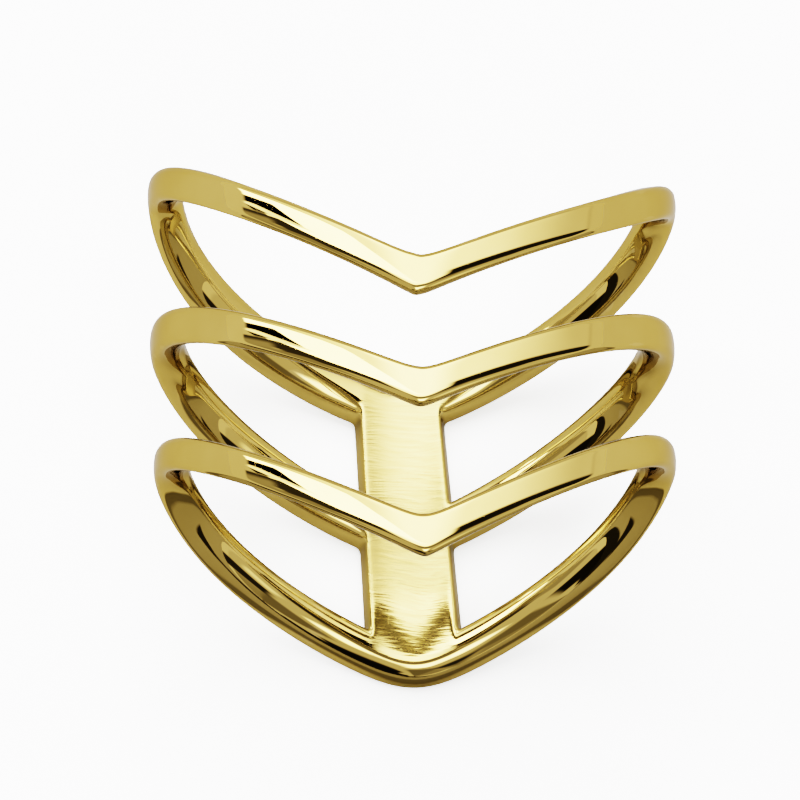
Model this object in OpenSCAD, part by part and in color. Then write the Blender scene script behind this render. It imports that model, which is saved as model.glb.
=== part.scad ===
// Triple chevron ring.
// Three V-shaped bands run round the finger, and a narrow upright plate joins them at the
// back. The whole ring is one piece of metal. It lies on the back of its bands, with the
// finger axis along Y, the front of the ring up (+Z) and the tips of the Vs towards -Y.

/* [Ring] */
// Diameter of the finger hole
inner_d = 17.4; // [15:0.1:20]
// Thickness of the metal, from the finger hole outwards
wall = 1.4; // [1.2:0.1:1.8]
// Depth of the small flat that the ring lies on
rest_flat = 0.05; // [0.02:0.01:0.1]

/* [Band widths] */
// Width of a band at its front tip
front_w = 1.1; // [0.9:0.05:1.4]
// Width of a band at its shoulders, beside the finger
side_w = 1.3; // [1:0.05:1.5]
// Width of a band at its back tip
back_w = 1.5; // [1.1:0.05:1.7]
// Radius that softens the long edges of a band
edge_r = 0.35; // [0.3:0.05:0.4]

/* [Heights from the middle of the ring: front tip, left shoulder, right shoulder, back tip] */
// Upper band
upper_heights = [1.8, 8.25, 7.15, 2.5]; // [-12:0.05:12]
// Middle band
middle_heights = [-2.5, 2.3, 1.85, -2.8]; // [-12:0.05:12]
// Lower band
lower_heights = [-8.35, -2.75, -2.8, -8.05]; // [-12:0.05:12]

/* [Roundness of the legs: front left, front right, back left, back right] */
// Upper band
upper_bends = [0.35, 0.25, 0.05, 0.35]; // [0.05:0.05:1]
// Middle band
middle_bends = [0.5, 0.45, 0.4, 0.5]; // [0.05:0.05:1]
// Lower band
lower_bends = [0.45, 0.55, 0.35, 0.25]; // [0.05:0.05:1]

/* [Tips of the Vs] */
// Softness of the front tips
front_soft = 0.03; // [0.02:0.01:0.1]
// Softness of the back tips
back_soft = 0.07; // [0.03:0.01:0.15]

/* [Back plate] */
// Width of the plate at the upper band
plate_top_w = 3.3; // [2.5:0.1:4.5]
// Width of the plate at the lower band
plate_foot_w = 3.6; // [2.5:0.1:4.5]
// How far each end of the plate leans from the middle: upper end left, lower end right
plate_lean = 0.2; // [0:0.05:0.5]

/* [Hidden] */
inner_r = inner_d / 2;
outer_r = inner_r + wall;
mid_r = inner_r + wall / 2;
axis_z = outer_r - rest_flat;
reach = 24;         // longer than the ring, for the shapes that trim it
quarter_steps = 16; // sections in each leg
crowding = 1.35;    // draws the sections together towards the tips
over = 0.12;        // how far a section reaches past the wall, before it is trimmed
plate_block = 2 * wall; // height of the block that the plate is trimmed from
hole_sectors = 16;  // stretches that the wall of the finger hole is cut in
sector_overlap = 1; // degrees that a stretch shares with the next one
$fn = 96;

// The four legs of a band, in order round the finger from the front tip to the right.
FRONT_RIGHT = 0;
BACK_RIGHT = 1;
BACK_LEFT = 2;

// How far along its leg section i lies: 0 at the tip and 1 at the shoulder.
function leg(i) = floor(i / quarter_steps);
function along(i) =
    let (k = i % quarter_steps, from_tip = leg(i) % 2 == 0)
    pow((from_tip ? k : quarter_steps - k) / quarter_steps, crowding);

// A leg climbs straight from its tip and levels out at its shoulder. A small bend makes a
// straight leg with a tight shoulder, and a large bend an even curve.
function span(d) = sqrt(1 + d * d) - d;
function soften(s, d) = (sqrt(s * s + d * d) - d) / span(d);
function soften_slope(s, d) = s / sqrt(s * s + d * d) / span(d);
function climb(s, d) = (sqrt(1 + d * d) - sqrt((1 - s) * (1 - s) + d * d)) / span(d);
function climb_slope(s, d) = (1 - s) / sqrt((1 - s) * (1 - s) + d * d) / span(d);

function is_front(i) = leg(i) != BACK_RIGHT && leg(i) != BACK_LEFT;
function is_right(i) = leg(i) < BACK_LEFT;
function tip(i, heights) = is_front(i) ? heights[0] : heights[3];
function shoulder(i, heights) = is_right(i) ? heights[2] : heights[1];
function bend(i, bends) = bends[(is_front(i) ? 0 : 2) + (is_right(i) ? 1 : 0)];
function softness(i) = is_front(i) ? front_soft : back_soft;

function height(i, heights, bends) =
    let (s = soften(along(i), softness(i)))
    tip(i, heights) + (shoulder(i, heights) - tip(i, heights)) * climb(s, bend(i, bends));

// A section is cut by a plane through the finger axis. On a slope it is stretched along the
// axis, so that the band keeps its width.
function stretch(i, heights, bends) =
    let (s = soften(along(i), softness(i)),
         rise = shoulder(i, heights) - tip(i, heights),
         slope = rise * climb_slope(s, bend(i, bends)) * soften_slope(along(i), softness(i))
                 / (mid_r * PI / 2))
    sqrt(1 + slope * slope);

// Middle of the plate, to the right of the ring's middle, at a height along the axis.
function plate_x(y) =
    let (t = (y - lower_heights[3]) / (upper_heights[3] - lower_heights[3]))
    plate_lean * (1 - 2 * t);

// Angle round the finger: 0 at the front tip, 90 at the right shoulder. The back tip lies
// on the middle of the plate.
function angle(i, heights) =
    let (s = along(i), back = 180 - plate_x(heights[3]) / mid_r * 180 / PI)
    leg(i) == FRONT_RIGHT ? 90 * s
    : leg(i) == BACK_RIGHT ? back - (back - 90) * s
    : leg(i) == BACK_LEFT ? back + (270 - back) * s
    : 360 - 90 * s;

function width(a) = side_w + ((cos(a) > 0 ? front_w : back_w) - side_w) * cos(a) * cos(a);

// Outline of a section w wide, as [distance out of the wall's middle, height], with each
// corner an arc that stops short of the faces that are trimmed off.
function outline(w) =
    let (h = wall / 2 + over - edge_r, v = w / 2 - edge_r, arc = [0, 25, 60])
    [for (c = [[1, 1], [-1, 1], [-1, -1], [1, -1]], k = [0:2])
        let (a = arc[c[0] * c[1] > 0 ? 2 - k : k])
        [c[0] * (h + edge_r * sin(a)), c[1] * (v + edge_r * cos(a))]];

module chevron_band(heights, bends) {
    count = 4 * quarter_steps;
    sides = len(outline(side_w));
    points = [for (i = [0:count - 1])
        let (a = angle(i, heights), y = height(i, heights, bends),
             k = stretch(i, heights, bends))
        for (p = outline(width(a)))
            [(mid_r + p[0]) * sin(a), y + p[1] * k, axis_z + (mid_r + p[0]) * cos(a)]];
    faces = [for (i = [0:count - 1], j = [0:sides - 1])
        let (n = (i + 1) % count, m = (j + 1) % sides,
             a = i * sides + j, b = i * sides + m, c = n * sides + m, d = n * sides + j)
        each [[a, b, c], [a, c, d]]];
    polyhedron(points, faces);
}

module back_plate() {
    top = upper_heights[3];
    foot = lower_heights[3];
    linear_extrude(plate_block)
        polygon([
            [plate_x(top) - plate_top_w / 2, top],
            [plate_x(top) + plate_top_w / 2, top],
            [plate_x(foot) + plate_foot_w / 2, foot],
            [plate_x(foot) - plate_foot_w / 2, foot]
        ]);
}

module outer_round() {
    translate([0, 0, axis_z])
        rotate([90, 0, 0]) cylinder(r = outer_r, h = 2 * reach, center = true);
}

// The finger hole is cut one sector after another, so that each stretch of a band gets an
// inner face of its own.
module finger_hole() {
    turn = 360 / hole_sectors;
    for (i = [0:hole_sectors - 1])
        translate([0, reach, axis_z])
            rotate([90, i * turn, 0])
                rotate_extrude(angle = turn + sector_overlap) square([inner_r, 2 * reach]);
}

module ring() {
    color("goldenrod")
        difference() {
            intersection() {
                union() {
                    chevron_band(upper_heights, upper_bends);
                    chevron_band(middle_heights, middle_bends);
                    chevron_band(lower_heights, lower_bends);
                    back_plate();
                }
                outer_round();
            }
            finger_hole();
            translate([-reach / 2, -reach / 2, -reach]) cube(reach);
        }
}

ring();
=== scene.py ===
# %% [markdown]
# # A triple chevron ring, modelled and polished in Blender
# The real object is one piece of yellow gold: three V-shaped bands run round the finger and a
# narrow upright plate joins them at the back. It lies on a table on its back. This lesson
# loads the engineering model as a frame, sets up a small photo studio, models the ring out of
# one circle, and finishes it as polished metal.
#
# The frame gives the size and the place of everything, so nothing has to be fitted by eye.

# %% Load the frame
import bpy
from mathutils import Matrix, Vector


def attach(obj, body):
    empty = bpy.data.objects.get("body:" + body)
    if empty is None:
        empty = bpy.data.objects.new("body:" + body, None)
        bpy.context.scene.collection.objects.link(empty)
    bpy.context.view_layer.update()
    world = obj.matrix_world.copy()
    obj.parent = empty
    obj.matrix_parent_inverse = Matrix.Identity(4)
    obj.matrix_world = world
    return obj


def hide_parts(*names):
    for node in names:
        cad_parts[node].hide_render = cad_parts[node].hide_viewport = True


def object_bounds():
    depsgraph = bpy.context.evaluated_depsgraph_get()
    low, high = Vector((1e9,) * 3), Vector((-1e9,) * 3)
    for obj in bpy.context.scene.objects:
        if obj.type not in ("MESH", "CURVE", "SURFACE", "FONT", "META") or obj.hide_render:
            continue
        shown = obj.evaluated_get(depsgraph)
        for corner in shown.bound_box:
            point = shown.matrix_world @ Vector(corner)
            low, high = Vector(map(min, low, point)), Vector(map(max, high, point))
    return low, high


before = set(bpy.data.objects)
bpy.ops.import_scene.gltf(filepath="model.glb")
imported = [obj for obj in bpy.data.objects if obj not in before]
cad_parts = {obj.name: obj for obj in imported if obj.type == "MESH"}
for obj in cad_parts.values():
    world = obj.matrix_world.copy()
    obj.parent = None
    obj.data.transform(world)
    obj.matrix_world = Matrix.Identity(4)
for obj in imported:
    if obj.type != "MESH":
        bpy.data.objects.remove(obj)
cad_box = [list(corner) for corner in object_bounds()]

import math

import bmesh
import bpy
from mathutils import Matrix, Vector

MM = 0.001
size = [(high - low) / MM for low, high in zip(*cad_box)]
print("The engineering model is %.1f x %.1f x %.1f mm." % tuple(size))

# %% [markdown]
# ## The camera
# A product photographer uses a long lens from some distance, so that a small ring isn't
# distorted. The camera could be aimed with a Track To constraint, but here its three axes are
# written down one by one: the photograph looks at the ring from 18 degrees below its middle
# plane, 1.9 degrees from the left, and leans by one degree.

# %% Find the camera's axes
AXIS_Z = 10.05 * MM                      # height of the finger axis above the table
BELOW, ASIDE, LEAN = math.radians(18), math.radians(-1.9), math.radians(-1)

toward = Vector((math.sin(ASIDE) * math.cos(BELOW), -math.sin(BELOW),
                 math.cos(ASIDE) * math.cos(BELOW)))
level_right = Vector((math.cos(ASIDE), 0, -math.sin(ASIDE)))
level_up = toward.cross(level_right)
right = level_right * math.cos(LEAN) + level_up * math.sin(LEAN)
up = level_up * math.cos(LEAN) - level_right * math.sin(LEAN)
print("The camera looks along %.2f, %.2f, %.2f." % tuple(-toward))

# %% Place the camera
LOOK_AT = Vector((0, -1.45 * MM, AXIS_Z))
DISTANCE = 0.25
FOCAL_LENGTH, SENSOR = 292.2, 36         # both in millimetres
MOVE_LEFT, MOVE_UP = 0.51 * MM, 1.37 * MM

bpy.ops.object.select_all(action="DESELECT")
bpy.ops.object.camera_add()
camera = bpy.context.object
camera.name = "studio_camera"
camera.data.lens = FOCAL_LENGTH
camera.data.sensor_width = SENSOR
camera.data.clip_start = 0.01
# The ring sits a little right of and below the middle of the picture.
place = LOOK_AT + toward * DISTANCE - right * MOVE_LEFT + up * MOVE_UP
camera.matrix_world = Matrix.Translation(place) @ Matrix((right, up, toward)).transposed().to_4x4()
bpy.context.scene.camera = camera
print("The camera stands %.0f mm above the table." % (camera.location.z / MM))

# %% [markdown]
# ## The table
# A plain sheet of pale paper. It could be a box or a curved backdrop, but the camera looks
# almost straight down on it, so one plane is enough. It is far larger than the picture, so
# that the sides of the ring mirror paper, too, and not the edge of a table.

# %% Make the table
bpy.ops.object.select_all(action="DESELECT")
bpy.ops.mesh.primitive_plane_add(size=6)
table = bpy.context.object
table.name = "table"
print("The table is %.0f m wide." % table.dimensions.x)

# %% [markdown]
# ## The paper
# A metal ring mirrors what is round it, so the paper matters twice: it is the background of
# the picture, and it is also what the sides of the ring reflect. In a shop picture the
# background is lit more strongly than the piece, until it is nearly white. The Light Path node
# does the same here: the camera sees a brighter sheet than the gold does.
#
# Black and grey cards lie on a photographer's table, just outside the picture, and draw the
# dark lines in the lower legs. They could be planes of their own, but then they would show from
# other sides. Here they are tones that only the gold sees. Each begins along a straight line,
# which a Map Range node on Object coordinates makes.

# %% Give the paper the tones that the gold sees
BRIGHT_PAPER = 2.6                       # what the camera sees
# The third tone is a painted shadow: the ring's shade on the paper close in front of it.
PAPER, GREY_CARD, PAINTED_SHADE, BLACK_CARD = 0.42, 0.21, 0.08, 0.01


def add(tree, kind, **values):
    """Add a node and set its plain properties."""
    node = tree.nodes.new(kind)
    for name, value in values.items():
        setattr(node, name, value)
    return node


def wire(tree, source, target):
    """Join two sockets, or set the target socket to a plain number."""
    if isinstance(source, (int, float)):
        target.default_value = source
    else:
        tree.links.new(source, target)


paper = bpy.data.materials.new("pale paper")
paper.use_nodes = True
tree = paper.node_tree
tree.nodes.clear()
axes = add(tree, "ShaderNodeSeparateXYZ")
wire(tree, add(tree, "ShaderNodeTexCoord").outputs["Object"], axes.inputs[0])


def step(axis, start, end, before, after):
    """A tone that changes once along an axis of the table, between two places in millimetres."""
    node = add(tree, "ShaderNodeMapRange")
    values = {"Value": axes.outputs[axis], "From Min": start * MM, "From Max": end * MM,
              "To Min": before, "To Max": after}
    for name, value in values.items():
        wire(tree, value, node.inputs[name])
    return node.outputs["Result"]


# From the far end to the ring: black and grey paper, a small black card on grey, plain grey, a
# painted shadow of the ring just in front of it, and the paper under it.
far_cards = step("X", 1, 4, BLACK_CARD, GREY_CARD)
small_card = step("X", 4, 5, step("X", -3.5, -2.5, GREY_CARD, BLACK_CARD), GREY_CARD)
reflected = step("Y", -38, -34, far_cards, small_card)
reflected = step("Y", -21.5, -20, reflected, GREY_CARD)
# The painted shadow of the ring, on the paper just in front of it.
reflected = step("Y", -12.3, -11.3, reflected, PAINTED_SHADE)
reflected = step("Y", -9.3, -8.7, reflected, PAPER)
changes = [node for node in tree.nodes if node.bl_idname == "ShaderNodeMapRange"]
print("The paper changes its tone along %d lines." % len(changes))

# %% Finish the paper
tone = add(tree, "ShaderNodeMix", data_type="RGBA", clamp_result=False)
wire(tree, add(tree, "ShaderNodeLightPath").outputs["Is Camera Ray"], tone.inputs["Factor"])
wire(tree, reflected, tone.inputs["A"])
tone.inputs["B"].default_value = (BRIGHT_PAPER, BRIGHT_PAPER, BRIGHT_PAPER, 1)
sheet = add(tree, "ShaderNodeBsdfDiffuse")
wire(tree, tone.outputs["Result"], sheet.inputs["Color"])
output = add(tree, "ShaderNodeOutputMaterial")
wire(tree, sheet.outputs["BSDF"], output.inputs["Surface"])
table.data.materials.append(paper)
print("The paper has %d nodes." % len(tree.nodes))

# %% [markdown]
# ## The studio
# Polished gold has hardly a colour of its own. What is seen in it is the studio: white cards
# make the bright faces and black cards make the dark wedges beside them. The cards could be
# lamps or planes round the ring. They are painted on the world instead, by direction, because
# then they are equally far from all three bands, which all show the same pattern.
#
# A direction is given by two angles: its roll round the finger axis, from straight up towards
# the right, and its tilt along the finger axis, towards the top of the picture.

# %% Make a group with the sockets of a card
def new_group(name, inputs, outputs):
    """A node group: an input's value is a number, or "vector" for a vector socket."""
    group = bpy.data.node_groups.new(name, "ShaderNodeTree")
    for label, value in inputs.items():
        kind = "NodeSocketVector" if value == "vector" else "NodeSocketFloat"
        socket = group.interface.new_socket(label, in_out="INPUT", socket_type=kind)
        if value != "vector":
            socket.default_value = value
    for label in outputs:
        group.interface.new_socket(label, in_out="OUTPUT", socket_type="NodeSocketFloat")
    start = group.nodes.new("NodeGroupInput").outputs
    end = group.nodes.new("NodeGroupOutput").inputs
    return group, start, end


card, given, result = new_group(
    "studio card",
    {"Roll": 0.0, "Tilt": 0.0, "Middle roll": 0.0, "Middle tilt": 0.0, "Half width": 20.0,
     "Half height": 20.0, "Slant": 0.0, "Soft sides": 5.0, "Soft ends": 5.0},
    ["Mask"])
print("A studio card takes %d values." % (len(given) - 1))


# %% Work out the mask of a card
def calc(tree, operation, a, b=0.0):
    """A Math node."""
    node = add(tree, "ShaderNodeMath", operation=operation)
    wire(tree, a, node.inputs[0])
    wire(tree, b, node.inputs[1])
    return node.outputs[0]


def ramp(tree, value, low, high, to_low=0.0, to_high=1.0):
    """A smooth Map Range node."""
    node = add(tree, "ShaderNodeMapRange", interpolation_type="SMOOTHSTEP")
    for socket, number in zip(node.inputs, (value, low, high, to_low, to_high)):
        wire(tree, number, socket)
    return node.outputs[0]


along = calc(card, "SUBTRACT", given["Tilt"], given["Middle tilt"])
across = calc(card, "SUBTRACT", given["Roll"], given["Middle roll"])
across = calc(card, "SUBTRACT", across, calc(card, "MULTIPLY", along, given["Slant"]))
masks = []
for distance, half, soft in ((across, "Half width", "Soft sides"),
                             (along, "Half height", "Soft ends")):
    inside = calc(card, "SUBTRACT", given[half], calc(card, "ABSOLUTE", distance))
    masks.append(ramp(card, inside, calc(card, "MULTIPLY", given[soft], -0.5),
                      calc(card, "MULTIPLY", given[soft], 0.5)))
wire(card, calc(card, "MULTIPLY", *masks), result["Mask"])
print("The mask of a card takes %d nodes." % len(card.nodes))

# %% List the cards
# Each card: brightness, middle roll, middle tilt, half width, half height, slant, soft sides,
# soft ends. Later cards cover earlier ones. Angles are in degrees.
CARDS = [
    # The white sky in front of the ring, brightest in the middle.
    (1.15, 0, 30, 82, 21, 0, 3, 3),
    (2.7, 0, 30, 56, 21, 0, 40, 3),
    (4.4, 0, 30, 34, 21, 0, 36, 3),
    (8.0, 0, 27.5, 12, 23.5, 0, 16, 4),
    # A softbox on the left, with black cards below it and one light line between them.
    (12.0, -114.8, 36.5, 27.5, 23.5, -3.9, 1.5, 2),
    (0.0, -69.5, 19.5, 12.5, 1.9, -3.8, 1.5, 0.5),
    (0.06, -59, 14.75, 21, 2.75, -9, 2, 0.5),
    (0.06, -41, 2.5, 24, 10.3, 0, 8, 1.5),
    (4.0, -66, 18.3, 6.5, 1.2, -11.8, 4, 0.4),
    # The left side of the room, darker towards the bottom.
    (1.08, -94, 36, 15, 17.5, 0, 2.5, 2),
    (0.5, -80, 7, 14, 9.5, 0, 6, 1.2),
    (0.4, -72, -14, 20, 20, 0, 6, 8),
    # Black cards on the right, which draw the lower edges of the right legs, and a white one.
    (0.12, 36, 0, 22, 10, 0, 8, 4),
    (0.02, 50, 6.6, 34, 9, 0, 6, 1),
    (1.9, 57, -42, 12, 9, 0, 8, 10),
    # Below the camera: a dark line, a white strip light and a dark floor.
    (0.3, 10, -9, 24, 8, 0, 8, 6),
    (8.0, 5, -40, 13, 15, 0, 12, 8),
    (0.35, 60, -79, 50, 9, 0, 12, 4),
    (0.2, 14, -79, 32, 14, 0, 12, 5),
    # The horizon on both sides, a little brighter than the room.
    (1.08, -100, 0, 19, 89, 0, 1.5, 1),
    (1.08, 100, 0, 17, 89, 0, 3, 1),
    # Three black cards near the floor.
    (0.01, -77, -67, 39, 9.5, 0, 14, 3),
    (0.03, 74, -63, 32, 6.5, 0, 12, 3),
    (0.01, -88, -80, 26, 5, 0, 10, 2),
]
print("%d cards light the studio." % len(CARDS))

# %% Paint the cards on the world
ROOM = 0.8                               # brightness where there is no card
BACKDROP = 5.0                           # what the camera sees beyond the table
TO_DEGREES = 180 / math.pi

world = bpy.data.worlds.new("studio")
bpy.context.scene.world = world
world.use_nodes = True
tree = world.node_tree
tree.nodes.clear()
axes = add(tree, "ShaderNodeSeparateXYZ")
wire(tree, add(tree, "ShaderNodeTexCoord").outputs["Generated"], axes.inputs[0])
roll = calc(tree, "ARCTAN2", axes.outputs["X"], axes.outputs["Z"])
roll = calc(tree, "MULTIPLY", roll, TO_DEGREES)
tilt = calc(tree, "MULTIPLY", calc(tree, "ARCSINE", axes.outputs["Y"]), TO_DEGREES)


def cover(mask, below, above):
    """One brightness over another."""
    node = add(tree, "ShaderNodeMix", data_type="FLOAT")
    for name, value in (("Factor", mask), ("A", below), ("B", above)):
        wire(tree, value, node.inputs[name])
    return node.outputs["Result"]


level = ROOM
for bright, *shape in CARDS:
    node = add(tree, "ShaderNodeGroup", node_tree=card)
    for socket, value in zip(node.inputs, (roll, tilt, *shape)):
        wire(tree, value, socket)
    level = cover(node.outputs["Mask"], level, bright)
camera_sees = add(tree, "ShaderNodeLightPath").outputs["Is Camera Ray"]
light = add(tree, "ShaderNodeBackground")
light.inputs["Color"].default_value = (1, 1, 1, 1)
wire(tree, cover(camera_sees, level, BACKDROP), light.inputs["Strength"])
output = add(tree, "ShaderNodeOutputWorld")
wire(tree, light.outputs["Background"], output.inputs["Surface"])
print("The world has %d nodes." % len(tree.nodes))

# %% [markdown]
# ## The film
# The photograph is a contrasty shop picture: black lines are quite black, and the highlights
# roll off softly to white. AgX, the default, would make the gold greyer, so the picture is
# shown with Filmic.

# %% Choose the film
view = bpy.context.scene.view_settings
view.view_transform = "Filmic"
view.look = "High Contrast"
print("The film is %s, %s." % (view.view_transform, view.look))

# %% [markdown]
# ## The shape of the bands
# A goldsmith saws the three Vs out of a flat strip, bends the strip round a mandrel and
# solders its ends. The shape could be traced as curves, but a V band needs only a few numbers,
# in millimetres. For each band: the heights of its front tip, left shoulder, right shoulder
# and back tip along the finger, and how evenly its four legs curve.

# %% Describe the bands
INNER_R, WALL = 8.7, 1.4
OUTER_R = INNER_R + WALL
MIDDLE_R = INNER_R + WALL / 2
BANDS = {
    "upper": ((1.77, 8.32, 7.64, 2.5), (0.35, 0.13, 0.06, 0.15)),
    "middle": ((-2.62, 2.24, 1.78, -2.8), (0.58, 0.55, 0.4, 0.55)),
    "lower": ((-8.36, -2.7, -2.79, -8.07), (0.45, 0.55, 0.32, 0.27)),
}
# Widths along the finger, at the front, at the back and beside the finger.
FRONT_W, BACK_W = 1.25, 1.54
SIDE_WIDTHS = {"upper": 1.35, "middle": 1.5, "lower": 1.3}
# How much further out each band stands beside the finger, on the left and on the right.
SPREAD = {"upper": (0.1, 0.3), "middle": (0.04, 0.08), "lower": (-0.08, 0)}
# How much wider each back leg is in its middle, on the left and on the right.
BELLY = {"upper": (0.25, -0.1), "middle": (0.08, 0), "lower": (0, 0)}
print("The finger hole is %.1f mm wide." % (2 * INNER_R))

# %% Describe the curve of a leg
FRONT_SOFT, BACK_SOFT = 0.03, 0.07       # how softly a V turns at its front and back tip


def span(soft):
    """What a softened straight line gains over its whole length."""
    return math.hypot(1, soft) - soft


def soften(s, soft, fitted):
    """Round the tip of a V by soft, while the legs stay where fitted puts them."""
    return (math.hypot(s, soft) - fitted) / span(fitted)


def climb(s, bend):
    """A leg climbs straight from its tip and levels out at its shoulder."""
    return (math.hypot(1, bend) - math.hypot(1 - s, bend)) / span(bend)


def climb_slope(s, bend):
    """How steeply the leg climbs there."""
    return (1 - s) / math.hypot(1 - s, bend) / span(bend)


for name, (heights, bends) in BANDS.items():
    print("Halfway round, the front left leg of the %s band has climbed %.0f%% of its height."
          % (name, 100 * climb(0.5, bends[0])))

# %% Describe the plate
PLATE_TOP_W, PLATE_FOOT_W = 3.47, 3.74   # the plate widens towards its foot
PLATE_LEAN = 0.23                        # how far its top and foot stand beside its middle
TOP_TIP, FOOT_TIP = BANDS["upper"][0][3], BANDS["lower"][0][3]


def along_plate(y):
    """How far up the plate a height is: 0 at its foot and 1 at its top."""
    return (y - FOOT_TIP) / (TOP_TIP - FOOT_TIP)


def back_angle(heights):
    """Where the back tip of a band lies, on the middle of the leaning plate."""
    middle = PLATE_LEAN * (1 - 2 * along_plate(heights[3]))
    return 180 - math.degrees(middle / MIDDLE_R)


def plate_half_angle(heights):
    """How far round the finger the plate reaches to each side, in degrees."""
    width = PLATE_FOOT_W + (PLATE_TOP_W - PLATE_FOOT_W) * along_plate(heights[3])
    return math.degrees(width / 2 / MIDDLE_R)


print("The plate reaches %.1f degrees to each side." % plate_half_angle(BANDS["middle"][0]))

# %% [markdown]
# ## Columns round the finger
# The mesh has the same number of columns in each of the four legs of a band. They stand
# closer together at both ends of a leg, where the shape turns quickly. On the plate they have
# places of their own, so that one column falls exactly on each side of it.

# %% Find where each column stands
QUARTER = 26                             # columns in each leg
COLUMNS = 4 * QUARTER
PLATE_PARTS = [0, 0.3, 0.56, 0.79, 0.94, 1]    # columns from the plate's middle to its side
PLATE_STEPS = len(PLATE_PARTS) - 1
FRONT_CROWDING, BACK_CROWDING = 0.72, 0.6


def crowd(t, strength):
    """Draw evenly spaced values from 0 to 1 together at both ends."""
    return t - strength * math.sin(2 * math.pi * t) / (2 * math.pi)


def column_angle(i, heights):
    """Angle of a column round the finger, in degrees: 0 is the front tip and 90 the right."""
    quarter, k = divmod(i, QUARTER)
    steps = k if quarter % 2 == 0 else QUARTER - k
    if quarter in (0, 3):
        turn = 90 * crowd(steps / QUARTER, FRONT_CROWDING)
        return turn if quarter == 0 else 360 - turn
    half, back = plate_half_angle(heights), back_angle(heights)
    if steps <= PLATE_STEPS:
        turn = half * PLATE_PARTS[steps]
    else:
        t = (steps - PLATE_STEPS) / (QUARTER - PLATE_STEPS)
        turn = half + (90 - half) * crowd(t, BACK_CROWDING)
    return back - turn * (back - 90) / 90 if quarter == 1 else back + turn * (270 - back) / 90


for i in (1, QUARTER // 2, 2 * QUARTER):
    print("Column %d stands at %.1f degrees." % (i, column_angle(i, BANDS["middle"][0])))

# %% [markdown]
# ## Rows across a band
# A band is a grid of five rows. The outer rows are its edges, so where a leg climbs steeply
# they have to stand further apart along the finger for the band to keep its width.

# %% Find how high each row lies
ACROSS = [1, 0.55, 0, -0.55, -1]         # the rows, from the upper to the lower edge
ROW_SOFT = [0.035, 0.03, 0.025, 0.018, 0.012]    # how softly each row turns at the front tip


def band_heights(angle, name, across=ACROSS):
    """The heights of the rows of a band at an angle, for rows as far across as stated."""
    heights, bends = BANDS[name]
    front, back = math.cos(math.radians(angle)), back_angle(heights)
    is_front, is_right = front > 1e-6, angle <= back
    tip = heights[0] if is_front else heights[3]
    rise = (heights[2] if is_right else heights[1]) - tip
    bend = bends[(0 if is_front else 2) + (1 if is_right else 0)]
    width = SIDE_WIDTHS[name]
    width += ((FRONT_W if is_front else BACK_W) - width) * front ** 2
    if is_front:
        s = min(angle, 360 - angle) / 90
    else:
        s = (back - angle) / (back - 90) if is_right else (angle - back) / (270 - back)
        width += BELLY[name][1 if is_right else 0] * math.sin(math.radians(2 * angle)) ** 2
    fitted = FRONT_SOFT if is_front else BACK_SOFT
    rows = []
    for u, row_soft in zip(across, ROW_SOFT):
        soft = row_soft if is_front else BACK_SOFT
        t = soften(s, soft, fitted)
        slope = rise * climb_slope(max(t, 0), bend) / span(fitted) / (MIDDLE_R * math.pi / 2)
        if not is_front:
            slope *= s / math.hypot(s, soft)
        rows.append(tip + rise * climb(t, bend) + u * width / 2 * math.hypot(1, slope))
    return rows


for name, (heights, bends) in BANDS.items():
    rows = [band_heights(column_angle(i, heights), name) for i in range(COLUMNS)]
    print("The %s band reaches from %.2f to %.2f mm."
          % (name, min(r[-1] for r in rows), max(r[0] for r in rows)))

# %% [markdown]
# ## One circle becomes the strip
# The ring could be built as a solid and cut with Booleans, but polished metal shows every
# uneven face, so an even grid of quads is better. A circle as wide as the ring is extruded
# along the finger, one row of faces after another. The faces between the bands are then
# deleted, except where the plate is.

# %% Extrude the circle
ROW_STEP = 1.0 * MM                      # before the rows are bent
BAND_ROWS = len(ACROSS)
GAP_PARTS = [0.09, 0.19, 0.33, 0.5, 0.67, 0.81, 0.91]     # rows of the plate between two bands
PERIOD = BAND_ROWS + len(GAP_PARTS)      # rows from one band to the next
ROWS = 2 * PERIOD + BAND_ROWS

bpy.ops.object.select_all(action="DESELECT")
bpy.ops.mesh.primitive_circle_add(vertices=COLUMNS, radius=OUTER_R * MM,
                                  location=(0, 0, AXIS_Z), rotation=(math.pi / 2, 0, 0))
ring = bpy.context.object
ring.name = "gold_ring"
ring.data.name = "gold_ring"
bpy.ops.object.transform_apply(location=True, rotation=True, scale=True)
bpy.ops.object.mode_set(mode="EDIT")
bpy.ops.mesh.select_all(action="SELECT")
for row in range(ROWS - 1):
    bpy.ops.mesh.extrude_region_move(TRANSFORM_OT_translate={"value": (0, -ROW_STEP, 0)})
print("The strip has %d rows of %d vertices." % (ROWS, COLUMNS))


# %% Find the rows and columns on the strip
def row_of(co):
    """Row of a vertex, counted from the upper end of the strip."""
    return round(-co.y / ROW_STEP)


def column_of(co):
    """Column of a vertex, counted from the front tip towards the right."""
    turn = math.degrees(math.atan2(co.x, co.z - AXIS_Z)) % 360
    return round(turn / 360 * COLUMNS) % COLUMNS


def in_gap(row):
    """Whether a row lies between two bands."""
    return row % PERIOD >= BAND_ROWS


def from_plate(column):
    """Columns from the middle of the plate."""
    return abs(column - 2 * QUARTER)


print("%d of the rows lie between two bands." % sum(in_gap(row) for row in range(ROWS)))


# %% Cut the gaps
def pick(kind, test):
    """In edit mode, select only the vertices, edges or faces that pass a test."""
    bpy.ops.mesh.select_mode(type={"verts": "VERT", "edges": "EDGE", "faces": "FACE"}[kind])
    mesh = bmesh.from_edit_mesh(bpy.context.object.data)
    for group in (mesh.verts, mesh.edges, mesh.faces):
        for element in group:
            element.select = False
    chosen = [element for element in getattr(mesh, kind) if test(element)]
    for element in chosen:
        element.select = True
    mesh.select_flush_mode()
    bmesh.update_edit_mesh(bpy.context.object.data)
    return len(chosen)


def face_is_open(face):
    """Whether a face lies in a gap and not on the plate."""
    gap = any(in_gap(row_of(v.co)) for v in face.verts)
    plate = all(from_plate(column_of(v.co)) <= PLATE_STEPS for v in face.verts)
    return gap and not plate


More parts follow.
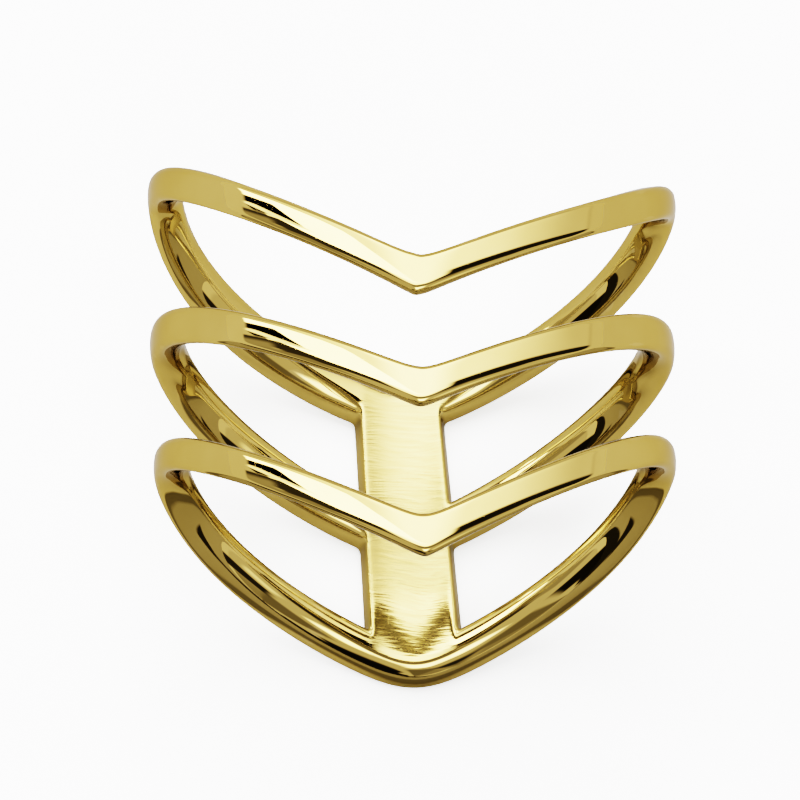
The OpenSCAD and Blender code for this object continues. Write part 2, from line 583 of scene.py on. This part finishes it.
cut = pick("faces", face_is_open)
bpy.ops.mesh.delete(type="FACE")
bpy.ops.mesh.select_all(action="SELECT")
bpy.ops.mesh.normals_make_consistent(inside=False)
bpy.ops.mesh.select_mode(type="VERT")
mesh = bmesh.from_edit_mesh(ring.data)
grid = {(row_of(v.co), column_of(v.co)): v.index for v in mesh.verts}
print("%d faces are cut away, and %d vertices stay." % (cut, len(grid)))

# %% [markdown]
# ## The wall
# Solidify turns the strip into a tube wall with openings. It could come last, but then it
# would have to follow the slopes. On the plain tube it is exact, and the vertices of its
# inner skin follow those of the outer one in the same order.

# %% Give the strip its wall
def apply_modifier(kind, name, **values):
    """Give the ring a modifier and apply it."""
    modifier = ring.modifiers.new(name, kind)
    for key, value in values.items():
        setattr(modifier, key, value)
    bpy.ops.object.modifier_apply(modifier=name)


bpy.ops.object.mode_set(mode="OBJECT")
outer_count = len(ring.data.vertices)
apply_modifier("SOLIDIFY", "wall", thickness=WALL * MM, offset=-1, use_even_offset=True)
radii = [math.hypot(v.co.x, v.co.z - AXIS_Z) / MM for v in ring.data.vertices[outer_count:]]
print("The hole's radius is %.2f to %.2f mm." % (min(radii), max(radii)))

# %% [markdown]
# ## The section of a band
# Across a band the outer face is nearly flat at the front and rounder beside the finger. The
# inner face is rounded at its edges, which a jeweller calls comfort fit: the ring slides on
# more easily. Bevels could do it, but they would be as round at the front as at the sides, so
# the rows of the grid sink by their own amounts.

# %% Describe the section
ACROSS_INSIDE = [1, 0.6, 0, -0.3, -0.86]       # the inner skin's rows, as ACROSS is the outer's
# How far each row sinks in millimetres: outside, at the tips and beside the finger, and inside.
OUTER_DEPTHS = [(0.03, 0.18), (0.008, 0.04), (0, 0), (0.008, 0.04), (0.03, 0.18)]
INNER_DEPTHS = [0.2, 0.02, 0, 0.05, 0.55]
PLATE_SIDE_DEPTH = 0.05
FACE_LEAN = [-0.0065, 0, 0.0065]         # each band's outer face leans a little
SIDE_START, SIDE_END = 44, 84            # degrees from a tip, where a band turns rounder
BLEND_COLUMNS = 10                       # columns in which a band runs into the plate
print("The outer edges sink %.2f mm at the tips and %.2f mm beside the finger." % OUTER_DEPTHS[0])


# %% Work out how far a vertex sinks
def smooth_step(t):
    """Ease from 0 to 1."""
    t = min(max(t, 0), 1)
    return t * t * (3 - 2 * t)


def from_tip(angle):
    """Degrees from the nearer tip."""
    return 90 - abs(abs(angle % 360 - 180) - 90)


def near_gap(row):
    """Whether one of the next two rows on either side lies between two bands."""
    near = [row + away for away in (-2, -1, 1, 2)]
    return any(in_gap(other) for other in near if 0 <= other < ROWS)


def sink(row, column, angle, outer):
    """How far a vertex lies below the skin it belongs to, in millimetres."""
    steps = from_plate(column)
    if in_gap(row):
        return PLATE_SIDE_DEPTH if steps == PLATE_STEPS else 0.0
    place = row % PERIOD
    if outer:
        flat, rounded = OUTER_DEPTHS[place]
        side = smooth_step((from_tip(angle) - SIDE_START) / (SIDE_END - SIDE_START))
        depth = flat + (rounded - flat) * side + FACE_LEAN[row // PERIOD] * ACROSS[place]
    else:
        depth = INNER_DEPTHS[place]
    if near_gap(row):
        away = smooth_step((steps - PLATE_STEPS + 1) / BLEND_COLUMNS)
        is_corner = steps >= PLATE_STEPS and place in (0, BAND_ROWS - 1)
        depth = depth * away + (PLATE_SIDE_DEPTH if is_corner else 0.0) * (1 - away)
    return depth


print("Half way to the side, the lower band's outer edge sinks %.2f mm."
      % sink(ROWS - 1, QUARTER // 2, 45, True))

# %% [markdown]
# ## Bending the rows into three Vs
# Each vertex is picked and moved to its place, as one would do by hand. Proportional editing
# could bend a whole band at once, but a V needs straight legs between its tips, and the plate
# has to stay straight too. The rows of the plate are spread between the bands, a little closer
# together near each one.

# %% Find a place for every vertex
places = {}
for number, (name, (heights, bends)) in enumerate(BANDS.items()):
    for column in range(COLUMNS):
        angle = column_angle(column, heights)
        beside = math.sin(math.radians(angle))
        apart = SPREAD[name][0 if beside < 0 else 1] * beside ** 6
        both_skins = zip(band_heights(angle, name), band_heights(angle, name, ACROSS_INSIDE))
        for offset, (outside, inside) in enumerate(both_skins):
            places[number * PERIOD + offset, column] = (angle, outside, inside, apart)
for gap in range(len(BANDS) - 1):
    above, below = gap * PERIOD + BAND_ROWS - 1, (gap + 1) * PERIOD
    for column in range(2 * QUARTER - PLATE_STEPS, 2 * QUARTER + PLATE_STEPS + 1):
        (a0, y0, *_), (a1, y1, *_) = places[above, column], places[below, column]
        for offset, t in enumerate(GAP_PARTS):
            y = y0 + (y1 - y0) * t
            places[above + 1 + offset, column] = (a0 + (a1 - a0) * t, y, y, 0.0)
print("There are %d places on each skin." % len(places))


# %% Move the vertices
def place_vertex(index, angle, y, radius):
    """Select one vertex and move it to its place, given round the finger axis."""
    mesh = bmesh.from_edit_mesh(ring.data)
    mesh.verts.ensure_lookup_table()
    for v in mesh.verts:
        v.select = False
    vertex = mesh.verts[index]
    vertex.select = True
    mesh.select_flush_mode()
    a = math.radians(angle)
    target = Vector((radius * math.sin(a) * MM, y * MM, AXIS_Z + radius * math.cos(a) * MM))
    bpy.ops.transform.translate(value=target - vertex.co)


bpy.ops.object.mode_set(mode="EDIT")
for (row, column), index in grid.items():
    angle, outside, inside, apart = places[row, column]
    outer_radius = OUTER_R + apart - sink(row, column, angle, True)
    inner_radius = INNER_R + apart + sink(row, column, angle, False)
    place_vertex(index, angle, outside, outer_radius)
    place_vertex(index + outer_count, angle, inside, inner_radius)
print("%d vertices are in their places." % (2 * len(grid)))

# %% [markdown]
# ## Edges and polish
# The long outer edges are crisp on the real ring, so they get a narrow bevel of their own.
# One more row on each side face keeps it flat, and Subdivision Surface makes the rest smooth.

# %% Bevel the outer edges
EDGE_R = 0.2                             # millimetres

side_edges = pick("edges", lambda e: len({v.index < outer_count for v in e.verts}) == 2)
bpy.ops.mesh.subdivide(number_cuts=1)
long_edges = pick("edges", lambda e: all(v.index < outer_count for v in e.verts)
                  and any(v.index >= outer_count for face in e.link_faces for v in face.verts))
bpy.ops.mesh.bevel(offset=EDGE_R * MM, segments=2, affect="EDGES", clamp_overlap=False)
bpy.ops.object.mode_set(mode="OBJECT")
print("%d side edges are cut in two, and %d edges are bevelled." % (side_edges, long_edges))

# %% Smooth the ring
apply_modifier("SUBSURF", "polish", levels=2, render_levels=2)
bpy.ops.object.shade_smooth()
print("The ring has %d faces." % len(ring.data.polygons))

# %% [markdown]
# ## The flat it lies on
# A ring that lies on a table touches it along a line. On the real plate a few strokes of a
# file make that line a narrow flat, so it doesn't roll. A Boolean could cut it, but here it is
# enough to press what lies below the table up to it.

# %% File the flat
bpy.ops.object.mode_set(mode="EDIT")
low = pick("verts", lambda v: v.co.z < 0)
bpy.ops.transform.resize(value=(1, 1, 0), center_override=(0, 0, 0))
bpy.ops.object.mode_set(mode="OBJECT")
print("%d vertices lie on the table." % low)

# %% [markdown]
# ## Node groups for the finish
# No hand-finished metal is perfect, and what makes it look real is small: hairlines from the
# polishing cloth and a tone that drifts a little. Image textures would need a UV map and files,
# so noise is used. Each effect is a node group, so that it can be tried on its own. All of them
# read Object coordinates, which are in metres here, so a scale of 1000 means millimetres.

# %% Make the group for tone
def noise(tree, vector, scale, detail, roughness=0.5):
    """A noise texture on a vector."""
    node = add(tree, "ShaderNodeTexNoise")
    for name, value in (("Vector", vector), ("Scale", scale), ("Detail", detail),
                        ("Roughness", roughness)):
        wire(tree, value, node.inputs[name])
    return node.outputs[0]


DRIFT_SCALE, GRAIN_SCALE = 260, 5200

metal_tone, given, result = new_group("metal tone", {"Vector": "vector"}, ["Drift", "Grain"])
drift = noise(metal_tone, given["Vector"], DRIFT_SCALE, 3, 0.55)
grain = noise(metal_tone, given["Vector"], GRAIN_SCALE, 2)
wire(metal_tone, ramp(metal_tone, drift, 0.32, 0.68), result["Drift"])
wire(metal_tone, ramp(metal_tone, grain, 0.3, 0.7), result["Grain"])
print("The tone drifts over about %.0f mm." % (1 / DRIFT_SCALE / MM))


# %% Make the group for hairlines
def stretch(tree, vector, scale, turn):
    """Two Mapping nodes that turn a pattern and then draw it out along an axis."""
    turned = add(tree, "ShaderNodeMapping")
    wire(tree, vector, turned.inputs["Vector"])
    turned.inputs["Rotation"].default_value = turn
    drawn = add(tree, "ShaderNodeMapping")
    wire(tree, turned.outputs[0], drawn.inputs["Vector"])
    drawn.inputs["Scale"].default_value = scale
    return drawn.outputs[0]


HAIR_SCALE, HAIR_DRAWN = 9000, 0.045
HAIR_TURNS = [((0.3, 0.9, 0.2), 1.0), ((1.1, -0.5, 0.8), 0.8),      # direction and fineness
              ((-0.6, 0.2, 1.5), 1.3), ((0.9, 1.7, -0.4), 1.1)]

hairlines, given, result = new_group("hairlines", {"Vector": "vector", "Density": 0.5}, ["Lines"])
# Only the peaks of the noise are lines, and a higher density takes in more of each peak.
threshold = calc(hairlines, "MULTIPLY", given["Density"], 0.08)
threshold = calc(hairlines, "SUBTRACT", 0.81, threshold)
full_line = calc(hairlines, "ADD", threshold, 0.05)
lines = 0.0
for turn, fineness in HAIR_TURNS:
    along_line = stretch(hairlines, given["Vector"],
                         (fineness, HAIR_DRAWN * fineness, fineness), turn)
    peaks = noise(hairlines, along_line, HAIR_SCALE, 0)
    lines = calc(hairlines, "MAXIMUM", lines, ramp(hairlines, peaks, threshold, full_line))
wire(hairlines, lines, result["Lines"])
print("The hairlines run in %d directions." % len(HAIR_TURNS))

# %% Make the group for sanding marks
SWAY_SCALE, SWAY = 300, 1.2 * MM
COARSE_SCALE, FINE_SCALE = 5200, 14000

sanding, given, result = new_group("sanding marks", {"Vector": "vector"}, ["Marks"])
# The marks sway a little, because the hand does.
sway = calc(sanding, "SUBTRACT", noise(sanding, given["Vector"], SWAY_SCALE, 1), 0.5)
axes = add(sanding, "ShaderNodeSeparateXYZ")
wire(sanding, given["Vector"], axes.inputs[0])
swayed = add(sanding, "ShaderNodeCombineXYZ")
wire(sanding, axes.outputs["X"], swayed.inputs["X"])
sway = calc(sanding, "MULTIPLY", sway, SWAY)
wire(sanding, calc(sanding, "ADD", axes.outputs["Y"], sway), swayed.inputs["Y"])
marks = 0.0
for scale, detail, drawn, turn, share in ((COARSE_SCALE, 2, 0.1, 0.05, 0.65),
                                          (FINE_SCALE, 1, 0.05, -0.04, 0.35)):
    along_mark = stretch(sanding, swayed.outputs[0], (drawn, 1, 1), (0, 0, turn))
    pattern = noise(sanding, along_mark, scale, detail)
    marks = calc(sanding, "ADD", marks, calc(sanding, "MULTIPLY", pattern, share))
wire(sanding, ramp(sanding, marks, 0.3, 0.7), result["Marks"])
print("The coarse marks are about %.1f mm wide." % (1 / COARSE_SCALE / MM))

# %% [markdown]
# ## Gold
# Polished gold is a fully metallic surface with almost no roughness. It could be one plain colour,
# but edges are rubbed brighter in wear, and corners where the wheel doesn't reach stay duller; the
# concave corners are also given a darker colour. Pointiness finds both on the finished mesh.
# Specular Tint is the colour that the metal takes on where it is seen at a low angle.

# %% Start the gold
gold = bpy.data.materials.new("polished gold")
gold.use_nodes = True
tree = gold.node_tree
shader = tree.nodes["Principled BSDF"]
shader.inputs["Metallic"].default_value = 1
shader.inputs["Specular Tint"].default_value = (0.72, 0.64, 0.5, 1)
where = add(tree, "ShaderNodeTexCoord").outputs["Object"]
axes = add(tree, "ShaderNodeSeparateXYZ")
wire(tree, where, axes.inputs[0])


def finish(group, **values):
    """Lay one of the groups over the ring."""
    node = add(tree, "ShaderNodeGroup", node_tree=group)
    wire(tree, where, node.inputs["Vector"])
    for name, value in values.items():
        node.inputs[name].default_value = value
    return node.outputs


tone = finish(metal_tone)
hair = finish(hairlines, Density=0.35)["Lines"]
marks = finish(sanding)["Marks"]
surface = add(tree, "ShaderNodeNewGeometry")
worn = ramp(tree, surface.outputs["Pointiness"], 0.51, 0.56)
deep = ramp(tree, surface.outputs["Pointiness"], 0.49, 0.45)
ring.data.materials.clear()
ring.data.materials.append(gold)
print("The ring's material is %s." % ring.data.materials[0].name)

# %% [markdown]
# ## The sanded plate
# The inner face of the plate is finely sanded instead of polished. It could be a material of
# its own, but then its border would be a hard line. The mask comes from the place on the ring
# instead: near the middle, facing the finger, low down and above the foot of the plate.

# %% Find the plate's inner face
PLATE_SIDES = (1.5, 1.9)                 # from the middle, in millimetres, as all of these
INNER_SKIN = (INNER_R + 0.03, INNER_R + 0.1)      # from the finger axis
PLATE_TOP = (1.7, 2.1)                   # above the table
PLATE_FOOT = (-8.3, -7.6)                # along the finger
RUBBED_FOOT = (-6, -4.6)


def fade(value, limits, before=1.0, after=0.0):
    """Change from one value to another between two limits in millimetres."""
    return ramp(tree, value, limits[0] * MM, limits[1] * MM, before, after)


height = calc(tree, "SUBTRACT", axes.outputs["Z"], AXIS_Z)
squares = [calc(tree, "MULTIPLY", value, value) for value in (axes.outputs["X"], height)]
from_axis = calc(tree, "SQRT", calc(tree, "ADD", *squares))
sanded = fade(calc(tree, "ABSOLUTE", axes.outputs["X"]), PLATE_SIDES)
for mask in (fade(from_axis, INNER_SKIN), fade(axes.outputs["Z"], PLATE_TOP),
             fade(axes.outputs["Y"], PLATE_FOOT, 0.0, 1.0)):
    sanded = calc(tree, "MULTIPLY", sanded, mask)
# The foot of the plate is rubbed smoother, so the front tip shows in it.
grit = calc(tree, "MULTIPLY", sanded, fade(axes.outputs["Y"], RUBBED_FOOT, 0.3, 1.0))
print("The sanded face ends %.1f mm from the middle." % PLATE_SIDES[1])

# %% [markdown]
# ## The colour of the gold
# The base colour of a metal is the colour of its reflections. Where gold mirrors gold, the light
# is tinted twice and turns orange. The Light Path node paints a paler gold where the metal is only
# seen in another reflection: a painted reflection colour, which keeps those reflections from
# turning orange.

# %% Colour the gold
DARK_GOLD, LIGHT_GOLD = (0.575, 0.385, 0.108), (0.625, 0.425, 0.126)
WORN_GOLD, DEEP_GOLD = (0.7, 0.49, 0.18), (0.4, 0.25, 0.07)
DARK_MARK, LIGHT_MARK = (0.41, 0.282, 0.078), (0.51, 0.365, 0.11)
PAINTED_REFLECTION_GOLD = (0.49, 0.45, 0.32)


def blend_color(factor, a, b):
    """Mix two colours, each a node's socket or a plain colour."""
    node = add(tree, "ShaderNodeMix", data_type="RGBA")
    wire(tree, factor, node.inputs["Factor"])
    for socket, value in ((node.inputs["A"], a), (node.inputs["B"], b)):
        if isinstance(value, tuple):
            socket.default_value = (*value, 1)
        else:
            wire(tree, value, socket)
    return node.outputs["Result"]


color = blend_color(tone["Drift"], DARK_GOLD, LIGHT_GOLD)
color = blend_color(calc(tree, "MULTIPLY", worn, 0.5), color, WORN_GOLD)
# Concave corners are darker in colour, as well as rougher.
color = blend_color(calc(tree, "MULTIPLY", deep, 0.6), color, DEEP_GOLD)
color = blend_color(sanded, color, blend_color(marks, DARK_MARK, LIGHT_MARK))
camera_sees = add(tree, "ShaderNodeLightPath").outputs["Is Camera Ray"]
# Painted reflection colour: a paler gold wherever the metal is seen only in another reflection.
color = blend_color(camera_sees, PAINTED_REFLECTION_GOLD, color)
wire(tree, color, shader.inputs["Base Color"])
print("The polished gold is %.2f red, %.2f green and %.2f blue." % LIGHT_GOLD)

# %% [markdown]
# ## Polish and scratches
# Roughness blurs the reflections and the bump bends them. Both stay tiny on the polished metal,
# or the black lines in it would turn grey. The hairlines and the sanding marks are far too fine
# to model, so they are the only relief that comes from a Bump node.

# %% Give the gold its polish
POLISH = 0.008                           # roughness of clean, polished metal
BUMP_DEPTH = 0.002 * MM


def total(base, *parts):
    """A number plus each mask times its strength."""
    for mask, strength in parts:
        base = calc(tree, "ADD", base, calc(tree, "MULTIPLY", mask, strength))
    return base


rough = total(POLISH, (tone["Drift"], 0.008), (tone["Grain"], 0.004), (hair, 0.04),
              (deep, 0.1), (grit, 0.19))
wire(tree, rough, shader.inputs["Roughness"])
relief = total(0.0, (hair, -0.02), (tone["Grain"], 0.008),
               (calc(tree, "MULTIPLY", marks, grit), 1.6))
bump = add(tree, "ShaderNodeBump")
bump.inputs["Strength"].default_value = 1
bump.inputs["Distance"].default_value = BUMP_DEPTH
wire(tree, relief, bump.inputs["Height"])
wire(tree, bump.outputs[0], shader.inputs["Normal"])
print("The gold has %d nodes." % len(tree.nodes))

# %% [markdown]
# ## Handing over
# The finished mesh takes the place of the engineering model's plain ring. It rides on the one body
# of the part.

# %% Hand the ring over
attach(ring, "root")
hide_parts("ring")
